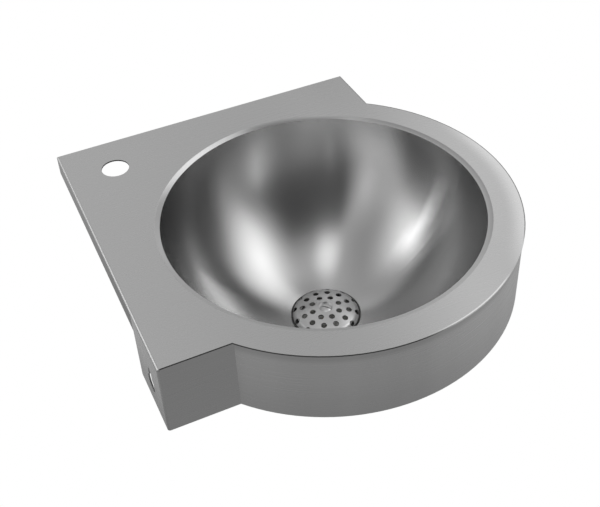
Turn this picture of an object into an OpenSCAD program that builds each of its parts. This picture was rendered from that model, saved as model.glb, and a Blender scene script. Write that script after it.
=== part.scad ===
// Corner hand wash basin in welded stainless steel sheet, with its strainer waste.
// The origin is the centre of the waste tail's lower end, on the bowl's axis.
// +Z is up. One wall lies at -X and the other at +Y, and the user stands at +X -Y.
// The basin is symmetric about the vertical plane through the room's corner.

/* [Deck] */
// Radius at which the flat deck ends round the bowl
opening_r = 159; // [140:0.5:175]
// Width of the flat deck between the bowl and the round front edge, on average
front_rim = 27; // [24:0.5:42]
// How far the centre of the round front lies out from the bowl's axis, on the diagonal
front_shift = 1.8; // [0:0.1:4]
// How much further each wall is from the bowl's axis than the round front edge
wall_gap = 20.2; // [14:0.1:40]
// How far the round front edge stands out past the square part's corner, on the diagonal
front_bulge = 16.1; // [9:0.1:30]
// Thickness of the deck sheet
deck_t = 1.5; // [1.2:0.1:1.8]
// Outside radius of the folds along the walls
fold_r = 2.5; // [2:0.1:4]
// Height of the folded flange along each wall
flange_h = 22; // [16:1:30]
// Width of the sloping lip round the bowl opening
lip_w = 4.7; // [3:0.1:7]
// Depth of the lip's lower edge, and so of the bowl's rim, below the deck
lip_h = 1.8; // [1.2:0.1:4]
// Diameter of the tap hole
tap_hole_d = 28; // [22:1:35]
// Distance from each wall to the centre of the tap hole
tap_setback = 49; // [42:1:52]

/* [Skirt] */
// Height of the skirt, with the deck
skirt_h = 77.5; // [70:0.5:95]
// Thickness of the skirt sheet
panel_t = 1.5; // [1.2:0.1:1.8]
// How far the round apron stands back under the deck's edge
apron_inset = 1; // [1:0.1:4]
// Width of each full-height panel against the wall, from its shoulder face
return_w = 72; // [60:1:80]
// Diameter of the keyhole's round part
keyhole_d = 17; // [14:0.5:20]
// Width of the keyhole's slot
keyhole_slot_w = 8; // [6:0.5:10]
// Distance from the centre of the round part up to the end of the slot's centre line
keyhole_travel = 14.5; // [13:0.5:17]
// Distance from the shoulder face to the keyhole's centre line
keyhole_setback = 33.5; // [28:0.5:40]
// Depth of the keyhole's round part below the deck
keyhole_drop = 50; // [45:1:55]

/* [Bowl] */
// Thickness of the bowl's sheet
bowl_t = 1.2; // [0.8:0.1:1.5]
// Depth that the bowl's round bottom would reach below the deck
bowl_depth = 144; // [130:1:146]
// Radius of the strainer's seat in the bowl's bottom
seat_r = 36.5; // [36:0.5:40]
// Depth of the seat below the bowl's surface at its edge
seat_step = 1.4; // [1:0.1:9]
// Radius of the outlet hole in the seat
outlet_r = 27; // [25:0.5:28]

/* [Strainer] */
// Radius of the strainer dome
dome_r = 34.6; // [33:0.1:35.4]
// Height of the strainer dome
dome_h = 10; // [9.5:0.1:14]
// Thickness of the strainer dome's sheet
dome_t = 1.2; // [1:0.1:1.5]
// Outside radius of the dome's broad crown
crown_r = 100; // [90:1:130]
// Outside radius of the dome's rounded edge
dome_edge_r = 7; // [5:0.5:8]
// Diameter of the strainer's holes
perforation_d = 6; // [4:0.5:6.5]
// Radius of the inner ring of holes
ring_a_r = 14.6; // [13:0.1:15]
// Radius of the middle ring of holes
ring_b_r = 24; // [23:0.1:24.5]
// Radius of the dimple round the screw
dimple_r = 7.3; // [6.8:0.1:8]
// Diameter of the screw's shank
screw_d = 5; // [4:0.5:6]
// Radius of the screw's head
screw_head_r = 5.8; // [4.5:0.1:6.2]
// How far the screw's rounded head stands above its edge
screw_head_rise = 1.3; // [0.8:0.1:2]
// Width of the slot in the screw's head
screw_slot_w = 1.2; // [0.8:0.1:1.6]
// Depth of the slot in the screw's head
screw_slot_h = 1.4; // [1:0.1:1.8]
// Length of the screw's shank that stands out below the crossbar
screw_end_h = 3; // [1:0.5:6]

/* [Waste] */
// Outside diameter of the waste's threaded tail
tail_d = 41.9; // [41.9:0.1:47.8]
// Inside diameter of the waste's tail
tail_bore_d = 35; // [30:0.5:36]
// Length of the waste's tail
tail_h = 45; // [30:1:60]
// Height of the sloping neck between the tail and the cup
neck_h = 8; // [6:1:15]
// Height of the waste's cup, with its flange
cup_h = 19; // [18:1:30]
// Inside radius of the waste's cup
cup_r = 25.5; // [24.5:0.1:26]
// Thickness of the cup's wall
cup_t = 2.5; // [2:0.1:3]
// Radius of the waste's flange
waste_flange_r = 34; // [32:0.5:36]
// Thickness of the waste's flange
waste_flange_t = 3; // [2:0.1:4]
// Width of the crossbar in the cup
bar_w = 8; // [6:0.5:10]
// Height of the crossbar
bar_h = 9; // [7:0.5:10]
// Depth of the crossbar's top below the flange's top face
bar_drop = 5; // [4:0.5:8]
// Radius of the boss in the middle of the crossbar
boss_r = 7.5; // [6.5:0.1:9]
// Radius of the brass insert in the boss
insert_r = 4.8; // [4.2:0.1:5.5]
// Thickness of the seal between the waste and the bowl
bowl_seal_t = 2; // [1.5:0.1:3]
// Thickness of the seal under the strainer dome
strainer_seal_t = 1.5; // [1:0.1:2.5]
// Width of the seal under the strainer dome
strainer_seal_w = 6; // [4:0.5:7]

/* [Hidden] */

// Radial play between the screw, its insert, and the pieces that they go through
screw_play = 0.05;
// Radial play of the insert in its boss
insert_play = 0.02;
// Play round the screw's shank where it passes the dome
shank_play = 0.3;
// How far the edge of the seal under the dome keeps from the seat's wall
seal_play = 0.5;
// How far cuts run past what they cut
overrun = 5;

// Radius of the deck's round front edge
deck_r = opening_r + front_rim;
// Distances from the bowl's axis to each wall and to each square shoulder face
wall_distance = deck_r + wall_gap;
shoulder_distance = (deck_r + front_shift - front_bulge) / sqrt(2);
// Distance of the round front's centre from the bowl's axis, along each wall
front_offset = front_shift / sqrt(2);

// The bowl's inside is a sphere through the lip's lower edge and the bowl's depth
rim_r = opening_r - lip_w;
bowl_drop = bowl_depth - lip_h;
sphere_r = (pow(rim_r, 2) + pow(bowl_drop, 2)) / (2 * bowl_drop);
function bowl_surface_depth(r) = bowl_depth - sphere_r + sqrt(pow(sphere_r, 2) - pow(r, 2));
seat_depth = bowl_surface_depth(seat_r) + seat_step;

// Heights above the tail's lower end
cup_base_z = tail_h + neck_h;
waste_top_z = cup_base_z + cup_h;
bar_top_z = waste_top_z - bar_drop;
seat_under_z = waste_top_z + bowl_seal_t;
seat_z = seat_under_z + bowl_t;
dome_base_z = seat_z + strainer_seal_t;
dome_top_z = dome_base_z + dome_h;
deck_z = seat_z + seat_depth;
sphere_z = deck_z - bowl_depth + sphere_r;
skirt_z = deck_z - skirt_h;

// The apron's outside, and where its ends meet the shoulder faces
apron_r = deck_r - apron_inset;
apron_end = sqrt(pow(apron_r - panel_t, 2) - pow(shoulder_distance - front_offset, 2)) - front_offset;

// The screw, and the dimple in the dome that takes its head
screw_r = screw_d / 2;
dimple_foot_r = screw_r + shank_play;
dimple_edge_z = dome_top_z - crown_r + sqrt(pow(crown_r, 2) - pow(dimple_r, 2));
screw_head_z = dimple_edge_z - (dimple_r - screw_head_r);
screw_head_sphere_r = (pow(screw_head_r, 2) + pow(screw_head_rise, 2)) / (2 * screw_head_rise);
screw_foot_z = bar_top_z - bar_h - screw_end_h;

// Direction of the room corner's diagonal, along which the crossbar and the slot lie
diagonal_angle = -45;
// Counts of holes in the strainer's three rings
ring_a_count = 8;
ring_b_count = 12;
ring_c_count = 12;
// The outer ring's holes point this far out from straight up
ring_c_tilt = 45;

steel = [0.72, 0.73, 0.74];
dark_steel = [0.62, 0.63, 0.64];
plastic = [0.82, 0.82, 0.80];
rubber = [0.08, 0.08, 0.08];
brass = [0.78, 0.62, 0.30];

// Facets of plain rounds, of wide rounds, of small fillets and of the strainer's holes
$fn = 96;
wide_fn = 180;
fillet_fn = 48;
hole_fn = 32;

// Places a shape on the other wall, as the room corner's diagonal mirrors it
module other_wall() {
    mirror([1, 1, 0]) children();
}

// Places a round of the front at the front's centre
module at_front() {
    translate([front_offset, -front_offset]) children();
}

// Plan of the deck, with its square part run past both walls
module deck_plan() {
    reach = wall_distance + overrun;
    translate([-reach, -shoulder_distance])
        square([reach + shoulder_distance, reach + shoulder_distance]);
    at_front() circle(r = deck_r, $fn = wide_fn);
}

// Plan of the part of the deck whose flanges are at their full height
module flange_plan() {
    reach = wall_distance + overrun;
    end = shoulder_distance - return_w;
    translate([-reach, -end]) square([reach + end, reach + end]);
}

// Side view of a block that starts at the wall, with its upper edge rounded
module fold_profile(start, top, r) {
    reach = wall_distance + deck_r + overrun;
    height = flange_h + overrun;
    translate([start, top - height]) square([reach, height - r]);
    translate([start + r, top - height]) square([reach - r, height]);
    translate([start + r, top - r]) circle(r = r, $fn = fillet_fn);
}

// Block with rounded upper edges along both walls
module folded_block(start, top, r) {
    reach = 2 * (wall_distance + deck_r);
    intersection() {
        rotate([90, 0, 0])
            linear_extrude(height = reach, center = true) fold_profile(start, top, r);
        other_wall()
            rotate([90, 0, 0])
                linear_extrude(height = reach, center = true) fold_profile(start, top, r);
    }
}

// Section of the sloping lip, level underneath where the bowl's rim meets it, and of the sheet beside it
module lip_profile() {
    polygon([[opening_r, deck_z], [rim_r, deck_z - lip_h], [opening_r, deck_z - lip_h]]);
    translate([opening_r, deck_z - deck_t]) square([lip_w, deck_t]);
}

module deck_plate() {
    color(steel) {
        difference() {
            intersection() {
                difference() {
                    folded_block(-wall_distance, deck_z, fold_r);
                    folded_block(deck_t - wall_distance, deck_z - deck_t, fold_r - deck_t);
                }
                union() {
                    translate([0, 0, deck_z - fold_r])
                        linear_extrude(height = fold_r + overrun) deck_plan();
                    translate([0, 0, deck_z - flange_h])
                        linear_extrude(height = flange_h) flange_plan();
                }
            }
            translate([0, 0, deck_z - deck_t - overrun])
                cylinder(r = opening_r, h = deck_t + 2 * overrun, $fn = wide_fn);
            translate([tap_setback - wall_distance, wall_distance - tap_setback,
                       deck_z - deck_t - overrun])
                cylinder(d = tap_hole_d, h = deck_t + 2 * overrun);
        }
        rotate_extrude($fn = wide_fn) lip_profile();
    }
}

// Section of the bowl: the round wall, the seat's side and the seat's floor
module bowl_profile() {
    wall_r = seat_r + bowl_t;
    wall_z = deck_z - bowl_surface_depth(wall_r);
    intersection() {
        difference() {
            translate([0, sphere_z]) circle(r = sphere_r + bowl_t, $fn = wide_fn);
            translate([0, sphere_z]) circle(r = sphere_r, $fn = wide_fn);
        }
        translate([seat_r, seat_under_z])
            square([sphere_r, deck_z - lip_h - seat_under_z]);
    }
    difference() {
        translate([outlet_r, seat_under_z])
            square([wall_r - outlet_r, wall_z - seat_under_z]);
        translate([outlet_r - overrun, seat_z])
            square([seat_r - outlet_r + overrun, wall_z - seat_z + overrun]);
        translate([0, sphere_z]) circle(r = sphere_r, $fn = wide_fn);
    }
}

module bowl() {
    color(steel) rotate_extrude($fn = wide_fn) bowl_profile();
}

module front_apron() {
    reach = wall_distance + deck_r;
    color(steel)
        translate([0, 0, skirt_z])
            linear_extrude(height = skirt_h - deck_t)
                difference() {
                    at_front() circle(r = apron_r, $fn = wide_fn);
                    at_front() circle(r = apron_r - panel_t, $fn = wide_fn);
                    translate([shoulder_distance - reach, -shoulder_distance])
                        square(reach);
                }
}

// Plan of a shoulder panel: the wall return, the bend and the shoulder face
module shoulder_plan() {
    bend_x = fold_r - wall_distance;
    bend_y = fold_r - shoulder_distance;
    translate([-wall_distance, bend_y])
        square([panel_t, return_w - fold_r]);
    translate([bend_x, -shoulder_distance])
        square([-apron_end - bend_x, panel_t]);
    intersection() {
        difference() {
            translate([bend_x, bend_y]) circle(r = fold_r, $fn = fillet_fn);
            translate([bend_x, bend_y]) circle(r = fold_r - panel_t, $fn = fillet_fn);
        }
        translate([-wall_distance, -shoulder_distance]) square(fold_r);
    }
}

// Keyhole that hangs the panel on a screw in the wall, cut through along X
module keyhole() {
    x = -wall_distance - overrun;
    cut = panel_t + 2 * overrun;
    y = keyhole_setback - shoulder_distance;
    z = deck_z - keyhole_drop;
    translate([x, y, z]) rotate([0, 90, 0]) cylinder(d = keyhole_d, h = cut);
    translate([x, y, z + keyhole_travel])
        rotate([0, 90, 0]) cylinder(d = keyhole_slot_w, h = cut);
    translate([x, y - keyhole_slot_w / 2, z]) cube([cut, keyhole_slot_w, keyhole_travel]);
}

module shoulder_panel() {
    difference() {
        translate([0, 0, skirt_z]) linear_extrude(height = skirt_h - deck_t) shoulder_plan();
        translate([-wall_distance - overrun, -shoulder_distance - overrun, deck_z - fold_r])
            cube([fold_r + overrun, return_w + 2 * overrun, fold_r + overrun]);
        keyhole();
    }
}

module left_shoulder_panel() {
    color(steel) shoulder_panel();
}

module right_shoulder_panel() {
    color(steel) other_wall() shoulder_panel();
}

// Half section of a dome with a broad crown, a rounded edge and an upright rim
module dome_profile(r, top, broad_r, edge_r) {
    edge_x = r - edge_r;
    crown_z = top - broad_r;
    edge_z = crown_z + sqrt(pow(broad_r - edge_r, 2) - pow(edge_x, 2));
    touch_x = edge_x * broad_r / (broad_r - edge_r);
    base = dome_base_z - overrun;
    intersection() {
        translate([0, crown_z]) circle(r = broad_r, $fn = wide_fn);
        translate([0, base]) square([touch_x, top - base + overrun]);
    }
    translate([edge_x, edge_z]) circle(r = edge_r, $fn = fillet_fn);
    translate([0, base]) square([r, edge_z - base]);
}

// Section of the dome's sheet, whose middle turns down in a cone round the screw
module dome_sheet() {
    inner_r = dome_r - dome_t;
    difference() {
        dome_profile(dome_r, dome_top_z, crown_r, dome_edge_r);
        difference() {
            dome_profile(inner_r, dome_top_z - dome_t, crown_r - dome_t, dome_edge_r - dome_t);
            polygon([[0, dimple_edge_z + dome_t], [dimple_r, dimple_edge_z],
                     [dimple_r + dome_t, dimple_edge_z - dome_t],
                     [dimple_foot_r, dimple_edge_z - (dimple_r - dimple_foot_r) - 2 * dome_t],
                     [0, dimple_edge_z - (dimple_r - dimple_foot_r) - 2 * dome_t]]);
        }
        translate([-overrun, dome_base_z - 2 * overrun])
            square([dome_r + 2 * overrun, 2 * overrun]);
        polygon([[-overrun, dimple_edge_z + overrun], [dimple_r + overrun, dimple_edge_z + overrun],
                 [dimple_foot_r, dimple_edge_z - (dimple_r - dimple_foot_r)],
                 [-overrun, dimple_edge_z - (dimple_r - dimple_foot_r)]]);
        translate([-overrun, dome_base_z])
            square([dimple_foot_r + overrun, dome_h + overrun]);
    }
}

// Ring of holes through the dome, each pointing out by the tilt
module perforations(count, ring_r, z, tilt) {
    reach = dome_t + overrun;
    for (i = [0 : count - 1])
        rotate([0, 0, i * 360 / count])
            translate([ring_r, 0, z])
                rotate([0, tilt, 0])
                    cylinder(d = perforation_d, h = 2 * reach, center = true, $fn = hole_fn);
}

module strainer_dome() {
    edge_x = dome_r - dome_edge_r;
    edge_z = dome_top_z - crown_r + sqrt(pow(crown_r - dome_edge_r, 2) - pow(edge_x, 2));
    middle_r = dome_edge_r - dome_t / 2;
    color(steel)
        difference() {
            rotate_extrude() dome_sheet();
            perforations(ring_a_count, ring_a_r, dome_top_z, 0);
            perforations(ring_b_count, ring_b_r, dome_top_z, 0);
            perforations(ring_c_count, edge_x + middle_r * sin(ring_c_tilt),
                         edge_z + middle_r * cos(ring_c_tilt), ring_c_tilt);
        }
}

// Raised countersunk screw that clamps the dome and the bowl to the waste
module strainer_screw() {
    cone_h = screw_head_r - screw_r;
    head_z = screw_head_z + screw_play;
    color(dark_steel)
        difference() {
            union() {
                intersection() {
                    translate([0, 0, head_z + screw_head_rise - screw_head_sphere_r])
                        sphere(r = screw_head_sphere_r);
                    translate([0, 0, head_z])
                        cylinder(r = screw_head_r, h = screw_head_rise + overrun);
                }
                translate([0, 0, head_z - cone_h])
                    cylinder(r1 = screw_r, r2 = screw_head_r, h = cone_h);
                translate([0, 0, screw_foot_z])
                    cylinder(r = screw_r, h = head_z - cone_h - screw_foot_z);
            }
            rotate([0, 0, diagonal_angle])
                translate([-2 * screw_head_r, -screw_slot_w / 2,
                           head_z + screw_head_rise - screw_slot_h])
                    cube([4 * screw_head_r, screw_slot_w, screw_slot_h + overrun]);
        }
}

// Flat ring
module ring(outer, inner, height) {
    difference() {
        cylinder(r = outer, h = height);
        translate([0, 0, -overrun]) cylinder(r = inner, h = height + 2 * overrun);
    }
}

module strainer_seal() {
    outer = seat_r - seal_play;
    color(rubber)
        translate([0, 0, seat_z]) ring(outer, outer - strainer_seal_w, strainer_seal_t);
}

module bowl_seal() {
    color(rubber)
        translate([0, 0, waste_top_z]) ring(waste_flange_r, outlet_r, bowl_seal_t);
}

// Cup with its flange, its sloping neck and its tail, and the crossbar for the screw
module waste_body() {
    tail_r = tail_d / 2;
    tail_bore_r = tail_bore_d / 2;
    cup_outer_r = cup_r + cup_t;
    bar_z = bar_top_z - bar_h;
    color(plastic)
        rotate([0, 0, diagonal_angle])
            difference() {
                union() {
                    rotate_extrude()
                        polygon([[tail_bore_r, 0], [tail_r, 0], [tail_r, tail_h],
                                 [cup_outer_r, cup_base_z],
                                 [cup_outer_r, waste_top_z - waste_flange_t],
                                 [waste_flange_r, waste_top_z - waste_flange_t],
                                 [waste_flange_r, waste_top_z], [cup_r, waste_top_z],
                                 [cup_r, cup_base_z], [tail_bore_r, tail_h]]);
                    translate([-cup_r - cup_t / 2, -bar_w / 2, bar_z])
                        cube([2 * cup_r + cup_t, bar_w, bar_h]);
                    translate([0, 0, bar_z]) cylinder(r = boss_r, h = bar_h);
                }
                translate([0, 0, bar_z - overrun])
                    cylinder(r = insert_r + insert_play, h = bar_h + 2 * overrun);
            }
}

module threaded_insert() {
    color(brass)
        translate([0, 0, bar_top_z - bar_h]) ring(insert_r, screw_r + screw_play, bar_h);
}

deck_plate();
bowl();
front_apron();
left_shoulder_panel();
right_shoulder_panel();
strainer_dome();
strainer_screw();
strainer_seal();
bowl_seal();
waste_body();
threaded_insert();
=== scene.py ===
import math

import bpy
from mathutils import Matrix, Vector


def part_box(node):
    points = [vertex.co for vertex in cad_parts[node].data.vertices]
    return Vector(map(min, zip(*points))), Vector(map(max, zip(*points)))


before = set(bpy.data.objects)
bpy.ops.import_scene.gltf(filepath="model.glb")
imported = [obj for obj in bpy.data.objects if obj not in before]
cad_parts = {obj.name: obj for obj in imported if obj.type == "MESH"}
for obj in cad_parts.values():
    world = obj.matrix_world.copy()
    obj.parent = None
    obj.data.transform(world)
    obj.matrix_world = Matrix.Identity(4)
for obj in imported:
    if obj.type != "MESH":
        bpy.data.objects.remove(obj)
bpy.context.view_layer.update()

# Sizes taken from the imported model, in metres
DECK_LOW, DECK_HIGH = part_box("deck_plate")
DECK_TOP = DECK_HIGH.z
WALL = -DECK_LOW.x

# Radii of the bowl's rim and opening, of the folds along the walls and of the round front, and how far the
# front's centre lies out from the bowl's axis along each wall, in metres
RIM_R = 0.1543
OPENING_R = 0.159
FOLD_R = 0.0025
FRONT_R = 0.186
FRONT_OUT = DECK_HIGH.x - FRONT_R

# Camera: the photo's view, in the frame of the deck's top face
IMAGE_W, IMAGE_H = 600, 507
SENSOR_MM = 36.0
FOCAL_PX = 990.6
PRINCIPAL_PX = (282.0, 215.5)
AZIMUTH = math.radians(-21.58)
ELEVATION = math.radians(39.43)
ROLL = math.radians(-3.91)
AIM_X, AIM_Y = -0.03775, 0.00908
DISTANCE = 0.9333
CLIP_NEAR, CLIP_FAR = 0.01, 50


def make_camera():
    """Camera at the photo's viewing angle, with the small shift of its framing."""
    data = bpy.data.cameras.new("camera")
    data.sensor_width = SENSOR_MM
    data.lens = FOCAL_PX * SENSOR_MM / IMAGE_W
    data.shift_x = (IMAGE_W / 2 - PRINCIPAL_PX[0]) / IMAGE_W
    data.shift_y = (PRINCIPAL_PX[1] - IMAGE_H / 2) / IMAGE_W
    data.clip_start = CLIP_NEAR
    data.clip_end = CLIP_FAR
    back = Vector((math.sin(AZIMUTH) * math.cos(ELEVATION),
                   -math.cos(AZIMUTH) * math.cos(ELEVATION),
                   math.sin(ELEVATION)))
    right = (-back).cross(Vector((0, 0, 1))).normalized()
    up = back.cross(right)
    turned_right = math.cos(ROLL) * right + math.sin(ROLL) * up
    turned_up = math.cos(ROLL) * up - math.sin(ROLL) * right
    place = Vector((AIM_X, AIM_Y, DECK_TOP)) + back * DISTANCE
    camera = bpy.data.objects.new("camera", data)
    turn = Matrix((turned_right, turned_up, back)).transposed().to_4x4()
    camera.matrix_world = Matrix.Translation(place) @ turn
    bpy.context.scene.collection.objects.link(camera)
    bpy.context.scene.camera = camera


make_camera()


class Nodes:
    """Short calls that add nodes to one material or world."""

    def __init__(self, tree):
        self.tree = tree
        tree.nodes.clear()

    def add(self, kind, **settings):
        node = self.tree.nodes.new(kind)
        for name, value in settings.items():
            setattr(node, name, value)
        return node

    def link(self, source, target):
        self.tree.links.new(source, target)

    def fill(self, socket, value):
        """Sets a number on a socket, or links an output to it."""
        if isinstance(value, (int, float)):
            socket.default_value = value
        else:
            self.link(value, socket)

    def math(self, operation, a, b=0.0):
        node = self.add("ShaderNodeMath", operation=operation)
        for socket, value in zip(node.inputs, (a, b)):
            self.fill(socket, value)
        return node.outputs[0]

    def noise(self, vector, scale, detail=2.0, roughness=0.5):
        node = self.add("ShaderNodeTexNoise")
        node.inputs["Scale"].default_value = scale
        node.inputs["Detail"].default_value = detail
        node.inputs["Roughness"].default_value = roughness
        self.link(vector, node.inputs["Vector"])
        return node.outputs["Fac"]

    def between(self, value, low, high):
        """low where the value is 0, and high where it is 1."""
        node = self.add("ShaderNodeMapRange", clamp=True)
        self.link(value, node.inputs["Value"])
        self.fill(node.inputs["To Min"], low)
        self.fill(node.inputs["To Max"], high)
        return node.outputs["Result"]

    def step(self, value, start, end):
        """Soft step from 0 at start to 1 at end, whichever of them is the larger."""
        node = self.add("ShaderNodeMapRange", interpolation_type="SMOOTHSTEP", clamp=True)
        self.link(value, node.inputs["Value"])
        node.inputs["From Min"].default_value = start
        node.inputs["From Max"].default_value = end
        return node.outputs["Result"]

    def product(self, first, *others):
        for other in others:
            first = self.math("MULTIPLY", first, other)
        return first

    def dot(self, a, b):
        node = self.add("ShaderNodeVectorMath", operation="DOT_PRODUCT")
        self.link(a, node.inputs[0])
        node.inputs[1].default_value = b
        return node.outputs["Value"]

    def combine(self, x, y, z):
        node = self.add("ShaderNodeCombineXYZ")
        for socket, value in zip(node.inputs, (x, y, z)):
            self.fill(socket, value)
        return node.outputs[0]

    def place(self):
        """The point's x, y and z in the row frame, in metres."""
        coordinates = self.add("ShaderNodeTexCoord")
        parts = self.add("ShaderNodeSeparateXYZ")
        self.link(coordinates.outputs["Object"], parts.inputs[0])
        return parts.outputs


def start_material(name):
    """A material with a Principled shader, and the calls that add nodes to it."""
    material = bpy.data.materials.new(name)
    material.use_nodes = True
    n = Nodes(material.node_tree)
    output = n.add("ShaderNodeOutputMaterial")
    shader = n.add("ShaderNodeBsdfPrincipled")
    n.link(shader.outputs[0], output.inputs["Surface"])
    return material, n, shader


def add_bump(n, shader, height, strength, depth):
    bump = n.add("ShaderNodeBump")
    bump.inputs["Strength"].default_value = strength
    bump.inputs["Distance"].default_value = depth
    n.link(height, bump.inputs["Height"])
    n.link(bump.outputs[0], shader.inputs["Normal"])


def reach_from(n, centre_x, centre_y):
    """Distance in plan from an upright line."""
    x, y, _ = n.place()
    x = n.math("SUBTRACT", x, centre_x)
    y = n.math("SUBTRACT", y, centre_y)
    return n.math("SQRT", n.math("ADD", n.product(x, x), n.product(y, y)))


def reach_from_axis(n):
    """Distance in plan from the bowl's axis."""
    return reach_from(n, 0.0, 0.0)


def towards(n, azimuth):
    """How far a point lies out from the bowl's axis in one direction in plan."""
    x, y, _ = n.place()
    angle = math.radians(azimuth)
    return n.math("ADD", n.product(x, math.cos(angle)), n.product(y, math.sin(angle)))


def below_deck(n):
    """How far a point lies below the deck's top face."""
    _, _, z = n.place()
    return n.math("SUBTRACT", DECK_TOP, z)


def by_wall(n):
    """1 on the outside of the folds along the walls, fading to 0 over their radius."""
    x, y, _ = n.place()
    return n.math("MAXIMUM", n.step(x, FOLD_R - WALL, -WALL), n.step(y, WALL - FOLD_R, WALL))


def to_world(n, vector):
    turn = n.add("ShaderNodeVectorTransform", vector_type="VECTOR",
                 convert_from="OBJECT", convert_to="WORLD")
    n.link(vector, turn.inputs[0])
    return turn.outputs[0]


def mix_vectors(n, factor, a, b):
    node = n.add("ShaderNodeMix", data_type="VECTOR")
    n.link(factor, node.inputs["Factor"])
    vectors = [socket for socket in node.inputs if socket.type == "VECTOR" and socket.name in "AB"]
    n.link(a, vectors[0])
    n.link(b, vectors[1])
    return [socket for socket in node.outputs if socket.type == "VECTOR"][0]


# Rise that keeps the outward direction from vanishing on the bowl's axis, in metres
OUTWARD_RISE = 0.005


def along(x, y, z):
    """A direction that is the same all over the piece."""
    return lambda n: n.combine(x, y, z)


def outward(n):
    """Straight out from the bowl's axis. The surface then tilts this along its slope."""
    x, y, _ = n.place()
    return n.combine(x, y, OUTWARD_RISE)


# How fast the noise of the brush lines changes along and across them: per metre on flat sheet, and per radian
# and per metre where the lines run round the bowl's axis
SHEET_ALONG, SHEET_ACROSS = 14.0, 2200.0
ROUND_ALONG, ROUND_ACROSS = 2.0, 1500.0


def grain_along_x(n):
    x, y, z = n.place()
    return n.combine(n.product(x, SHEET_ALONG), n.product(y, SHEET_ACROSS), n.product(z, SHEET_ACROSS))


def grain_level(n):
    x, y, z = n.place()
    return n.combine(n.product(x, SHEET_ALONG), n.product(y, SHEET_ALONG), n.product(z, SHEET_ACROSS))


def grain_round(n):
    x, y, z = n.place()
    angle = n.math("ARCTAN2", y, x)
    return n.combine(n.product(angle, ROUND_ALONG), n.product(reach_from_axis(n), ROUND_ACROSS),
                     n.product(z, ROUND_ACROSS))


# Fine and broad brush lines: detail and roughness of the fine noise, the broad noise's scale as a share of
# the fine one's, and the fine noise's share of the two
FINE_DETAIL, FINE_ROUGHNESS = 4.0, 0.65
BROAD_SCALE_SHARE = 0.12
FINE_SHARE = 0.75
# How far the steel's roughness varies with the lines, and how deep the lines are, in metres
STEEL_ROUGHNESS_SPREAD = 0.02
LINE_DEPTH = 0.00002


def brushed(name, shade, spread, roughness, anisotropy, grain, rough_way, bump, marks=None):
    """Brushed steel.

    grain gives coordinates that run slowly along the brush lines, and rough_way the direction across them.
    marks may change the shade, the roughness and the rough direction in some places.
    """
    material, n, shader = start_material(name)
    shader.inputs["Metallic"].default_value = 1.0
    shader.inputs["Anisotropic"].default_value = anisotropy
    lines = grain(n)
    fine = n.noise(lines, 1.0, FINE_DETAIL, FINE_ROUGHNESS)
    broad = n.noise(lines, BROAD_SCALE_SHARE)
    mixed = n.math("ADD", n.product(fine, FINE_SHARE), n.product(broad, 1 - FINE_SHARE))
    tone = n.between(mixed, shade - spread, shade + spread)
    rough = n.between(mixed, roughness + STEEL_ROUGHNESS_SPREAD, roughness - STEEL_ROUGHNESS_SPREAD)
    way = rough_way(n)
    if marks:
        tone, rough, way = marks(n, tone, rough, way)
    n.link(n.combine(tone, tone, tone), shader.inputs["Base Color"])
    n.link(rough, shader.inputs["Roughness"])
    n.link(to_world(n, way), shader.inputs["Tangent"])
    add_bump(n, shader, fine, bump, LINE_DEPTH)
    return material


# The deck's marks, with distances in metres. A fade is the place where a mark begins and the place where it
# is full, and a share is of the deck's own shade.
# The lip's finish meets the deck's within this distance of the opening, and has this roughness
LIP_BLEND = 0.0005
LIP_ROUGHNESS = 0.3
# Stretches of the lip with painted shade or a painted highlight, darker or lighter than the deck. Each is
# its azimuth in degrees, where it begins and where it is full in that direction, and its share at the bowl's
# rim and at the deck
LIP_PAINTED_LIGHT = (
    (0, 0.09, 0.13, 1.04, 0.78),
    (75, 0.142, 0.153, 0.55, 0.95),
    (120, 0.137, 0.153, 1.4, 1.4),
)
# Painted highlight band beside the round edge on the right: width, azimuth in degrees, fade in that
# direction, and share
HIGHLIGHT_BAND_WIDTH = 0.018
HIGHLIGHT_BAND_AZIMUTH = -15
HIGHLIGHT_BAND_FADE = (0.14, 0.178)
HIGHLIGHT_BAND_SHARE = 1.4
# Thin line of painted shade at the round edge on the right: its fades inward from the edge, in x and in y,
# and share
SHADE_LINE_INWARD_FADE = (0.0012, 0.0006)
SHADE_LINE_X_FADE = (0.119, 0.124)
SHADE_LINE_Y_FADE = (-0.13, -0.11)
SHADE_LINE_SHARE = 0.3
# Thin painted highlight line at the round edge, in front on the right: its fades inward from the edge, in x
# at its left and right end, and in y, and share
HIGHLIGHT_LINE_INWARD_FADE = (0.0016, 0.0009)
HIGHLIGHT_LINE_LEFT_FADE = (0.0, 0.04)
HIGHLIGHT_LINE_RIGHT_FADE = (0.11, 0.09)
HIGHLIGHT_LINE_Y_FADE = (-0.12, -0.14)
HIGHLIGHT_LINE_SHARE = 1.6
# Painted shade: the deck is a little darker on the right: fade in x and share
RIGHT_FADE = (0.05, 0.12)
RIGHT_SHARE = 0.9
# A face is upright where the height of its normal is past this fade. It is the cut edge where it also lies
# this far outside the opening, and off the folds
UPRIGHT_FADE = (0.6, 0.3)
EDGE_CLEARANCE = 0.002
OFF_FOLD_FADE = (0.01, 0.0)
# Shade of the cut edge, darkened by the cutting and the weld, its shade on the right, where a painted
# highlight makes it bright, the fade in x between the two, and its roughness
CUT_EDGE_SHADE = 0.12
EDGE_HIGHLIGHT_SHADE = 1.0
EDGE_HIGHLIGHT_FADE = (0.0, 0.04)
CUT_EDGE_ROUGHNESS = 0.5
# Painted shade on the lower half of the folds: its fade by the height of the normal, and share. The folds
# have this roughness
UNDER_FOLD_FADE = (0.82, 0.68)
FOLD_SHADE_SHARE = 0.7
FOLD_ROUGHNESS = 0.45


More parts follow.
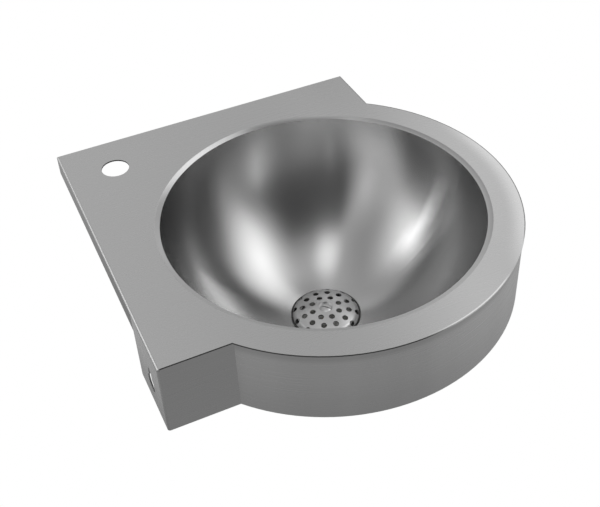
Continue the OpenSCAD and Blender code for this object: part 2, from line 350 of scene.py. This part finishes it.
def lip_share(n, reach):
    """Painted shade and painted highlights of the lip, as a share of the deck's shade."""
    across = n.math("DIVIDE", n.math("SUBTRACT", reach, RIM_R), OPENING_R - RIM_R)
    stretches = [n.between(n.step(towards(n, azimuth), begin, full), 1.0, n.between(across, rim, deck))
                 for azimuth, begin, full, rim, deck in LIP_PAINTED_LIGHT]
    return n.product(*stretches)


def round_edge_share(n, reach):
    """Painted light beside the deck's round edge, as a share of the deck's shade: highlight band, dark line
    and bright line.
    """
    x, y, _ = n.place()
    inward = n.math("SUBTRACT", FRONT_R, reach_from(n, FRONT_OUT, -FRONT_OUT))
    # Painted highlight band beside the round edge on the right
    highlight_band = n.product(n.step(reach, DECK_HIGH.x - HIGHLIGHT_BAND_WIDTH, DECK_HIGH.x),
                     n.step(towards(n, HIGHLIGHT_BAND_AZIMUTH), *HIGHLIGHT_BAND_FADE))
    # Thin line of painted shade at the round edge on the right
    shade_line = n.product(n.step(inward, *SHADE_LINE_INWARD_FADE), n.step(x, *SHADE_LINE_X_FADE), n.step(y, *SHADE_LINE_Y_FADE))
    # Thin painted highlight line at the round edge, in front on the right
    highlight_line = n.product(n.step(inward, *HIGHLIGHT_LINE_INWARD_FADE), n.step(x, *HIGHLIGHT_LINE_LEFT_FADE),
                      n.step(x, *HIGHLIGHT_LINE_RIGHT_FADE), n.step(y, *HIGHLIGHT_LINE_Y_FADE))
    return n.product(n.between(highlight_band, 1.0, HIGHLIGHT_BAND_SHARE), n.between(shade_line, 1.0, SHADE_LINE_SHARE),
                     n.between(highlight_line, 1.0, HIGHLIGHT_LINE_SHARE))


def deck_marks(n, tone, rough, way):
    """Cut edge, painted light round the front, soft folds along the walls with painted shade below, a lip
    brushed outward with painted light, and painted shade on the right.
    """
    x, _, _ = n.place()
    reach = reach_from_axis(n)
    lip = n.step(reach, OPENING_R + LIP_BLEND, OPENING_R - LIP_BLEND)
    fold = by_wall(n)
    level = n.math("ABSOLUTE", n.dot(n.add("ShaderNodeNewGeometry").outputs["Normal"], (0, 0, 1)))
    edge = n.product(n.step(level, *UPRIGHT_FADE), n.step(reach, OPENING_R, OPENING_R + EDGE_CLEARANCE),
                     n.step(fold, *OFF_FOLD_FADE))
    # The cut edge is painted bright as a highlight on the right
    edge_shade = n.between(n.step(x, *EDGE_HIGHLIGHT_FADE), CUT_EDGE_SHADE, EDGE_HIGHLIGHT_SHADE)
    # Painted shade on the lower half of the folds
    under = n.product(fold, n.step(level, *UNDER_FOLD_FADE))
    tone = n.product(tone, round_edge_share(n, reach),
                     n.between(under, 1.0, FOLD_SHADE_SHARE),
                     # The lip's painted shade and painted highlights
                     n.between(lip, 1.0, lip_share(n, reach)),
                     # Painted shade on the right of the deck
                     n.between(n.step(x, *RIGHT_FADE), 1.0, RIGHT_SHARE))
    tone = n.between(edge, tone, edge_shade)
    for mark, roughness in ((edge, CUT_EDGE_ROUGHNESS), (fold, FOLD_ROUGHNESS), (lip, LIP_ROUGHNESS)):
        rough = n.between(mark, rough, roughness)
    return tone, rough, mix_vectors(n, lip, way, outward(n))


# Lighter streaks of painted reflection on the bowl's spun finish. Each is its azimuth, its half width and the
# half width where it is full, in degrees, its shade as a share of the bowl's, and its fades at its inner and
# outer end, as distances from the bowl's axis in metres
PAINTED_STREAKS = (
    (164, 15.8, 8.1, 1.6, (0.07, 0.1), (0.136, 0.118)),
    (8.5, 5.1, 0.8, 1.45, (0.115, 0.142), (0.153, 0.144)),
    (2.5, 10.6, 3.6, 1.35, (0.085, 0.115), (0.15, 0.132)),
)


def bowl_marks(n, tone, rough, way):
    """Lighter streaks of painted reflection that run down towards the strainer."""
    reach = reach_from_axis(n)
    for azimuth, half_width, full_half_width, share, inner_fade, outer_fade in PAINTED_STREAKS:
        cosine = n.math("DIVIDE", towards(n, azimuth), reach)
        beside = n.step(cosine, math.cos(math.radians(half_width)), math.cos(math.radians(full_half_width)))
        streak = n.product(beside, n.step(reach, *inner_fade), n.step(reach, *outer_fade))
        # Each streak is painted reflection that lightens the bowl's shade
        tone = n.product(tone, n.between(streak, 1.0, share))
    return tone, rough, way


# The skirt's marks. Fades are pairs of depths below the deck, in metres, and shares are of the sheet's shade
# Upright bands of painted reflection: how fast they change per radian round the bowl's axis, and their
# darkest and lightest share
BAND_RATE = 5.0
BAND_SHARES = (0.93, 1.07)
# The apron darkens towards its foot, and in the shade under the deck
FOOT_FADE = (0.015, 0.085)
FOOT_SHARE = 0.84
SHADE_FADE = (0.012, 0.005)
SHADE_SHARE = 0.84
# Painted shade: share of the shoulder faces, and of the returns against the walls from top to foot
SHOULDER_SHARE = 0.84
RETURN_FADE = (0.02, 0.075)
RETURN_SHARES = (0.86, 0.66)


def faint_bands(n):
    """Faint upright bands of painted reflection, and a slightly darker foot."""
    x, y, _ = n.place()
    angle = n.math("ARCTAN2", y, x)
    # Painted reflection: faint upright bands round the apron
    band = n.noise(n.combine(n.product(angle, BAND_RATE), 0.0, 0.0), 1.0, 1.0)
    foot = n.between(n.step(below_deck(n), *FOOT_FADE), 1.0, FOOT_SHARE)
    return n.product(n.between(band, *BAND_SHARES), foot)


def skirt_marks(n, tone, rough, way):
    """Faint bands of painted reflection, and a darker band in the shade under the deck."""
    shade = n.between(n.step(below_deck(n), *SHADE_FADE), 1.0, SHADE_SHARE)
    return n.product(tone, shade, faint_bands(n)), rough, way


def shoulder_marks(n, tone, rough, way):
    """Painted shade: a slightly dark shoulder face, and a return against the wall that darkens from its top
    to its foot.
    """
    # Painted shade on the shoulder face and on the return against the wall
    wall_share = n.between(n.step(below_deck(n), *RETURN_FADE), *RETURN_SHARES)
    return n.product(tone, n.between(by_wall(n), SHOULDER_SHARE, wall_share)), rough, way


# Roughness and anisotropy of all the sheet, and the rough directions, which lie across the brush lines of the
# deck and of the skirt. Each is tilted a little, so that it never lies along a normal
SHEET_ROUGHNESS = 0.277
SHEET_ANISOTROPY = 0.73
ACROSS_DECK = along(0.0, 1.0, 0.03)
ACROSS_SKIRT = along(0.02, 0.03, 1.0)

DECK_STEEL = brushed("deck_steel", shade=0.64, spread=0.01, roughness=SHEET_ROUGHNESS,
                     anisotropy=SHEET_ANISOTROPY, grain=grain_along_x, rough_way=ACROSS_DECK, bump=0.012,
                     marks=deck_marks)
BOWL_STEEL = brushed("bowl_steel", shade=0.6, spread=0.01, roughness=0.2115,
                     anisotropy=0.889, grain=grain_round, rough_way=outward, bump=0.01,
                     marks=bowl_marks)
SKIRT_STEEL = brushed("skirt_steel", shade=0.62, spread=0.02, roughness=SHEET_ROUGHNESS,
                      anisotropy=SHEET_ANISOTROPY, grain=grain_level, rough_way=ACROSS_SKIRT, bump=0.06,
                      marks=skirt_marks)
SHOULDER_STEEL = brushed("shoulder_steel", shade=0.6, spread=0.03, roughness=SHEET_ROUGHNESS,
                         anisotropy=SHEET_ANISOTROPY, grain=grain_level, rough_way=ACROSS_SKIRT, bump=0.08,
                         marks=shoulder_marks)
STRAINER_STEEL = brushed("strainer_steel", shade=0.68, spread=0.02, roughness=0.3,
                         anisotropy=0.0, grain=grain_round, rough_way=outward, bump=0.03)
SCREW_STEEL = brushed("screw_steel", shade=0.64, spread=0.02, roughness=0.28,
                      anisotropy=0.0, grain=grain_round, rough_way=outward, bump=0.03)

# How far the roughness of moulded and turned pieces varies
ROUGHNESS_SPREAD = 0.05
# Moulded pieces: scale of the mottle per metre and its detail, and the depth of the skin in metres
MOTTLE_SCALE = 60.0
MOTTLE_DETAIL = 3.0
SKIN_DEPTH = 0.00005
# Tool lines of turned pieces: their detail, their darkest and lightest share of the colour, and their bump
TOOL_DETAIL = 3.0
TOOL_SHARES = (0.92, 1.08)
TOOL_BUMP = 0.1


def moulded(name, colour, spread, roughness, skin_scale, bump):
    """Moulded plastic or rubber: one colour with a faint mottle and a fine skin."""
    material, n, shader = start_material(name)
    place = n.add("ShaderNodeTexCoord").outputs["Object"]
    mottle = n.noise(place, MOTTLE_SCALE, MOTTLE_DETAIL)
    skin = n.noise(place, skin_scale)
    tones = [n.between(mottle, part * (1 - spread), part * (1 + spread)) for part in colour]
    n.link(n.combine(*tones), shader.inputs["Base Color"])
    rough = n.between(skin, roughness - ROUGHNESS_SPREAD, roughness + ROUGHNESS_SPREAD)
    n.link(rough, shader.inputs["Roughness"])
    add_bump(n, shader, skin, bump, SKIN_DEPTH)
    return material


def turned(name, colour, roughness):
    """Turned metal, with fine tool lines round the bowl's axis."""
    material, n, shader = start_material(name)
    shader.inputs["Metallic"].default_value = 1.0
    lines = n.noise(grain_round(n), 1.0, TOOL_DETAIL)
    low, high = TOOL_SHARES
    tones = [n.between(lines, part * low, part * high) for part in colour]
    n.link(n.combine(*tones), shader.inputs["Base Color"])
    rough = n.between(lines, roughness - ROUGHNESS_SPREAD, roughness + ROUGHNESS_SPREAD)
    n.link(rough, shader.inputs["Roughness"])
    add_bump(n, shader, lines, TOOL_BUMP, LINE_DEPTH)
    return material


RUBBER = moulded("seal_rubber", colour=(0.05, 0.05, 0.05), spread=0.15, roughness=0.65,
                 skin_scale=900.0, bump=0.3)
PLASTIC = moulded("waste_plastic", colour=(0.8, 0.8, 0.78), spread=0.02, roughness=0.42,
                  skin_scale=1200.0, bump=0.15)
BRASS = turned("insert_brass", colour=(0.72, 0.56, 0.26), roughness=0.3)

FINISHES = {
    "deck_plate": DECK_STEEL,
    "bowl": BOWL_STEEL,
    "front_apron": SKIRT_STEEL,
    "left_shoulder_panel": SHOULDER_STEEL,
    "right_shoulder_panel": SHOULDER_STEEL,
    "strainer_dome": STRAINER_STEEL,
    "strainer_screw": SCREW_STEEL,
    "strainer_seal": RUBBER,
    "bowl_seal": RUBBER,
    "waste_body": PLASTIC,
    "threaded_insert": BRASS,
}
for node, material in FINISHES.items():
    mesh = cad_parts[node].data
    mesh.materials.clear()
    mesh.materials.append(material)


# Level of the studio's walls and ceiling, as the steel shows them
ROOM = 0.6
# Soft panels of light, and dark parts of the room. Each is (azimuth, elevation, half width, half height,
# soft edge) in degrees, and then how much light it adds, or what share of the room's light it takes
PANELS = (
    (-17, 47, 9, 8, 9, 0.7),
    (-14, 41, 30, 17, 16, 1.08),
    (153, 20, 3, 18, 4, 0.85),
    (153, 7, 16, 35, 22, 1.4),
    (148, 14, 12, 7, 6, 0.8),
    (232, 80, 7, 13, 6, 0.9),
    (208, 18, 5, 14, 5, 0.18),
    (53, 36, 3, 12, 8, 1.2),
    (-4, 64, 6, 14, 18, 0.75),
    (23, 52, 15, 8, 6, 0.5),
)
DARK_PARTS = (
    (267.5, 1, 48, 65, 9, 0.87),
    (11, 19, 37, 55, 25, 0.87),
    (154, 54, 32, 20, 12, 0.36),
    (270, 42, 12, 10, 10, 0.3),
)
WHITE = (1, 1, 1, 1)


def straight_rays(n):
    """1 for what the camera sees directly or through glass."""
    path = n.add("ShaderNodeLightPath")
    return n.math("MAXIMUM", path.outputs["Is Camera Ray"], path.outputs["Is Transmission Ray"])


def direction(azimuth, elevation):
    a = math.radians(azimuth)
    e = math.radians(elevation)
    return Vector((math.cos(a) * math.cos(e), math.sin(a) * math.cos(e), math.sin(e)))


def panel_mask(n, ray, azimuth, elevation, half_w, half_h, soft):
    """1 inside a soft-edged rectangle seen in that direction, and 0 outside."""
    centre = direction(azimuth, elevation)
    side = Vector((0, 0, 1)).cross(centre).normalized()
    up = centre.cross(side)
    forward = n.dot(ray, centre)
    masks = []
    for axis, half in ((side, half_w), (up, half_h)):
        reach = n.math("ABSOLUTE", n.math("ARCTAN2", n.dot(ray, axis), forward))
        masks.append(n.step(reach, math.radians(half + soft), math.radians(half - soft)))
    return n.product(*masks)


def make_world():
    """White to the camera, and a grey room with soft panels and dark parts to the steel and the floor."""
    world = bpy.data.worlds.new("studio")
    bpy.context.scene.world = world
    world.use_nodes = True
    n = Nodes(world.node_tree)
    output = n.add("ShaderNodeOutputWorld")
    seen = n.add("ShaderNodeBackground")
    light = n.add("ShaderNodeBackground")
    for background in (seen, light):
        background.inputs["Color"].default_value = WHITE
    ray = n.add("ShaderNodeTexCoord").outputs["Generated"]
    strength = ROOM
    for *shape, share in DARK_PARTS:
        taken = n.product(panel_mask(n, ray, *shape), share)
        strength = n.product(n.math("SUBTRACT", 1.0, taken), strength)
    for *shape, added in PANELS:
        strength = n.math("ADD", strength, n.product(panel_mask(n, ray, *shape), added))
    n.link(strength, light.inputs["Strength"])
    mix = n.add("ShaderNodeMixShader")
    n.link(straight_rays(n), mix.inputs[0])
    n.link(light.outputs[0], mix.inputs[1])
    n.link(seen.outputs[0], mix.inputs[2])
    n.link(mix.outputs[0], output.inputs["Surface"])


make_world()


# Floor's level and half its width, in metres, and its colour under the lights
FLOOR_Z = -0.6
FLOOR_HALF = 4.0
FLOOR_COLOUR = (0.6, 0.6, 0.6, 1)
# Grey that the floor shows in the steel, and how much lighter it gets to the right and behind the basin
FLOOR_GREY = 0.355
FLOOR_RIGHT_GAIN = 0.13
FLOOR_RIGHT_FADE = (0.3, 1.2)
FLOOR_BACK_GAIN = 0.42
FLOOR_BACK_FADE = (0.4, 1.5)


def make_floor():
    """Pale floor: white to the camera, a soft grey in the steel, and plain with the shadow to the rest."""
    mesh = bpy.data.meshes.new("floor")
    s, z = FLOOR_HALF, FLOOR_Z
    mesh.from_pydata([(-s, -s, z), (s, -s, z), (s, s, z), (-s, s, z)], [], [(0, 1, 2, 3)])
    floor = bpy.data.objects.new("floor", mesh)
    bpy.context.scene.collection.objects.link(floor)
    material = bpy.data.materials.new("floor")
    material.use_nodes = True
    n = Nodes(material.node_tree)
    output = n.add("ShaderNodeOutputMaterial")
    diffuse = n.add("ShaderNodeBsdfDiffuse")
    diffuse.inputs["Color"].default_value = FLOOR_COLOUR
    glow = n.add("ShaderNodeEmission")
    x, y, _ = n.place()
    right = n.between(n.step(x, *FLOOR_RIGHT_FADE), 0.0, FLOOR_RIGHT_GAIN)
    back = n.between(n.step(y, *FLOOR_BACK_FADE), 0.0, FLOOR_BACK_GAIN)
    grey = n.math("ADD", n.math("ADD", right, back), FLOOR_GREY)
    straight = straight_rays(n)
    n.link(n.between(straight, grey, 1.0), glow.inputs["Strength"])
    shown = n.math("MAXIMUM", straight, n.add("ShaderNodeLightPath").outputs["Is Glossy Ray"])
    mix = n.add("ShaderNodeMixShader")
    n.link(shown, mix.inputs[0])
    n.link(diffuse.outputs[0], mix.inputs[1])
    n.link(glow.outputs[0], mix.inputs[2])
    n.link(mix.outputs[0], output.inputs["Surface"])
    mesh.materials.append(material)


make_floor()

bpy.context.scene.view_settings.view_transform = "Standard"
